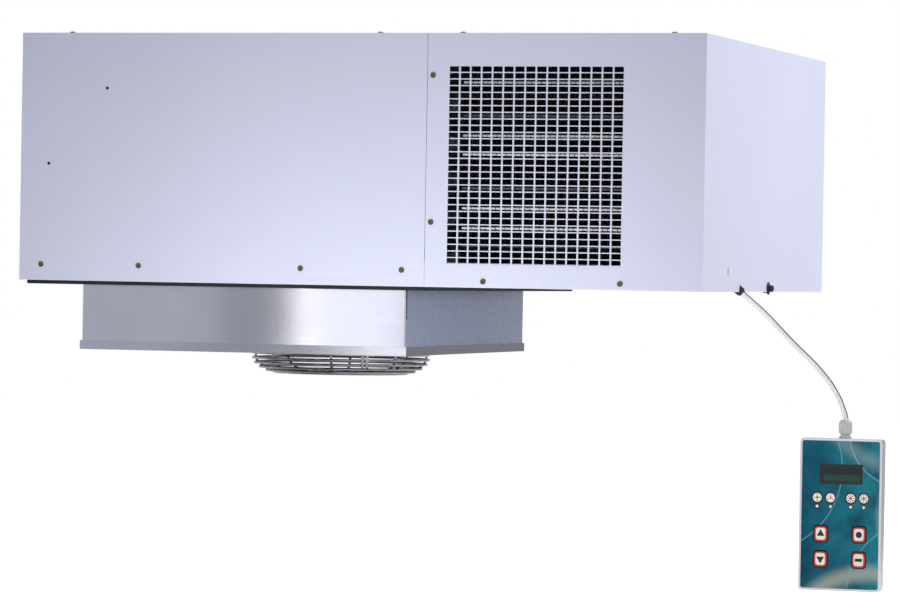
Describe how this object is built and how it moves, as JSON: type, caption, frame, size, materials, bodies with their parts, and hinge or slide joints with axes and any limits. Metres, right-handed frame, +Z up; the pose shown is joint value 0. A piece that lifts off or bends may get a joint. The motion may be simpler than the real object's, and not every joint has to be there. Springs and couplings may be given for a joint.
{
  "type": "monoblock refrigeration unit",
  "caption": "Ceiling monoblock refrigeration unit: sheet-metal casing with air grille, insulated roof plug with fan guard, and a hand remote on a cable.",
  "frame": {"origin": "centre of the insulated plug at the roof's surface, which is the underside of the gasket", "axes": "+Z up out of the roof, +X from the evaporator section towards the condensing section, -Y out of the front with the air grille"},
  "size_m": [1.1425, 0.745, 0.7255],
  "materials": {
    "painted_sheet": "fine textured satin paint",
    "painted_pan": "satin paint",
    "plug_steel": "brushed, lightly clouded",
    "galvanised": "galvanised, faint spangle",
    "foam_rubber": "matt closed-cell foam",
    "black_rubber": "matt",
    "foam": "rigid insulation foam",
    "white_foam": "moulded bead foam",
    "chrome_wire": "bright plated wire",
    "screw": "dull yellow-passivated",
    "fin": "thin sheet",
    "dark_fin": "black-coated fins",
    "copper": "drawn tube",
    "black_paint": "semi-gloss",
    "dark_plastic": "moulded",
    "board_green": "printed circuit board",
    "light_plastic": "moulded",
    "remote_case": "satin anodised",
    "overlay_teal": "printed film",
    "display": "tinted window",
    "key_film": "printed film",
    "gland_plastic": "nylon",
    "cable_sheath": "smooth sheath"
  },
  "bodies": {
    "root": {"evaporator_front_panel": "painted_sheet", "evaporator_side_panel": "painted_sheet", "evaporator_rear_panel": "painted_sheet", "evaporator_lid": "painted_sheet", "condenser_front_panel": "painted_sheet", "condenser_side_panel": "painted_sheet", "condenser_rear_panel": "painted_sheet", "condenser_lid": "painted_sheet", "base_pan": "painted_pan", "roof_gasket": "foam_rubber", "bulkhead": "galvanised", "panel_screws": "screw", "side_hole_cap": "light_plastic", "cable_grommet": "black_rubber", "spare_cable_entry": "black_rubber", "plug_skin": "plug_steel", "plug_insulation": "foam", "plug_tray": "plug_steel", "outlet_louvre": "light_plastic", "insulated_box": "white_foam", "evaporator_fins": "fin", "evaporator_tubes": "copper", "evaporator_end_plates": "galvanised", "drip_tray": "galvanised", "drain_pipe": "light_plastic", "defrost_heater": "galvanised", "evaporator_motor": "black_paint", "evaporator_motor_bracket": "galvanised", "fan_guard": "chrome_wire", "fan_guard_screws": "screw", "condenser_fins": "dark_fin", "condenser_tubes": "copper", "condenser_end_plates": "galvanised", "condenser_shroud": "galvanised", "condenser_motor": "black_paint", "condenser_motor_bracket": "galvanised", "compressor": "black_paint", "compressor_feet": "black_rubber", "compressor_terminal_cover": "dark_plastic", "filter_drier": "copper", "capillary_tube": "copper", "suction_pipe": "black_rubber", "discharge_pipe": "copper", "electrical_box": "galvanised", "electrical_box_cover": "galvanised", "control_board": "board_green", "remote_front_shell": "remote_case", "remote_back_shell": "remote_case", "remote_overlay": "overlay_teal", "remote_window": "display", "remote_board": "board_green", "remote_screws": "screw", "remote_gland": "gland_plastic", "remote_cable": "cable_sheath"},
    "evaporator_fan": {"evaporator_fan": "dark_plastic"},
    "condenser_fan": {"condenser_fan": "dark_plastic"},
    "key_1": {"remote_key_1": "key_film"},
    "key_2": {"remote_key_2": "key_film"},
    "key_3": {"remote_key_3": "key_film"},
    "key_4": {"remote_key_4": "key_film"}
  },
  "joints": [
    {"name": "evaporator_fan_spin", "type": "hinge", "parent": "root", "child": "evaporator_fan", "pos_m": [0.047, 0, -0.064], "axis": [0, 0, 1], "continuous": true},
    {"name": "condenser_fan_spin", "type": "hinge", "parent": "root", "child": "condenser_fan", "pos_m": [0.4672, -0.2463, 0.1565], "axis": [0, 1, 0], "continuous": true},
    {"name": "key_1_press", "type": "slide", "parent": "root", "child": "key_1", "axis": [0, 1, 0], "range_m": [0, 0.0005], "stiffness_N_per_m": 2000},
    {"name": "key_2_press", "type": "slide", "parent": "root", "child": "key_2", "axis": [0, 1, 0], "range_m": [0, 0.0005], "stiffness_N_per_m": 2000},
    {"name": "key_3_press", "type": "slide", "parent": "root", "child": "key_3", "axis": [0, 1, 0], "range_m": [0, 0.0005], "stiffness_N_per_m": 2000},
    {"name": "key_4_press", "type": "slide", "parent": "root", "child": "key_4", "axis": [0, 1, 0], "range_m": [0, 0.0005], "stiffness_N_per_m": 2000}
  ]
}
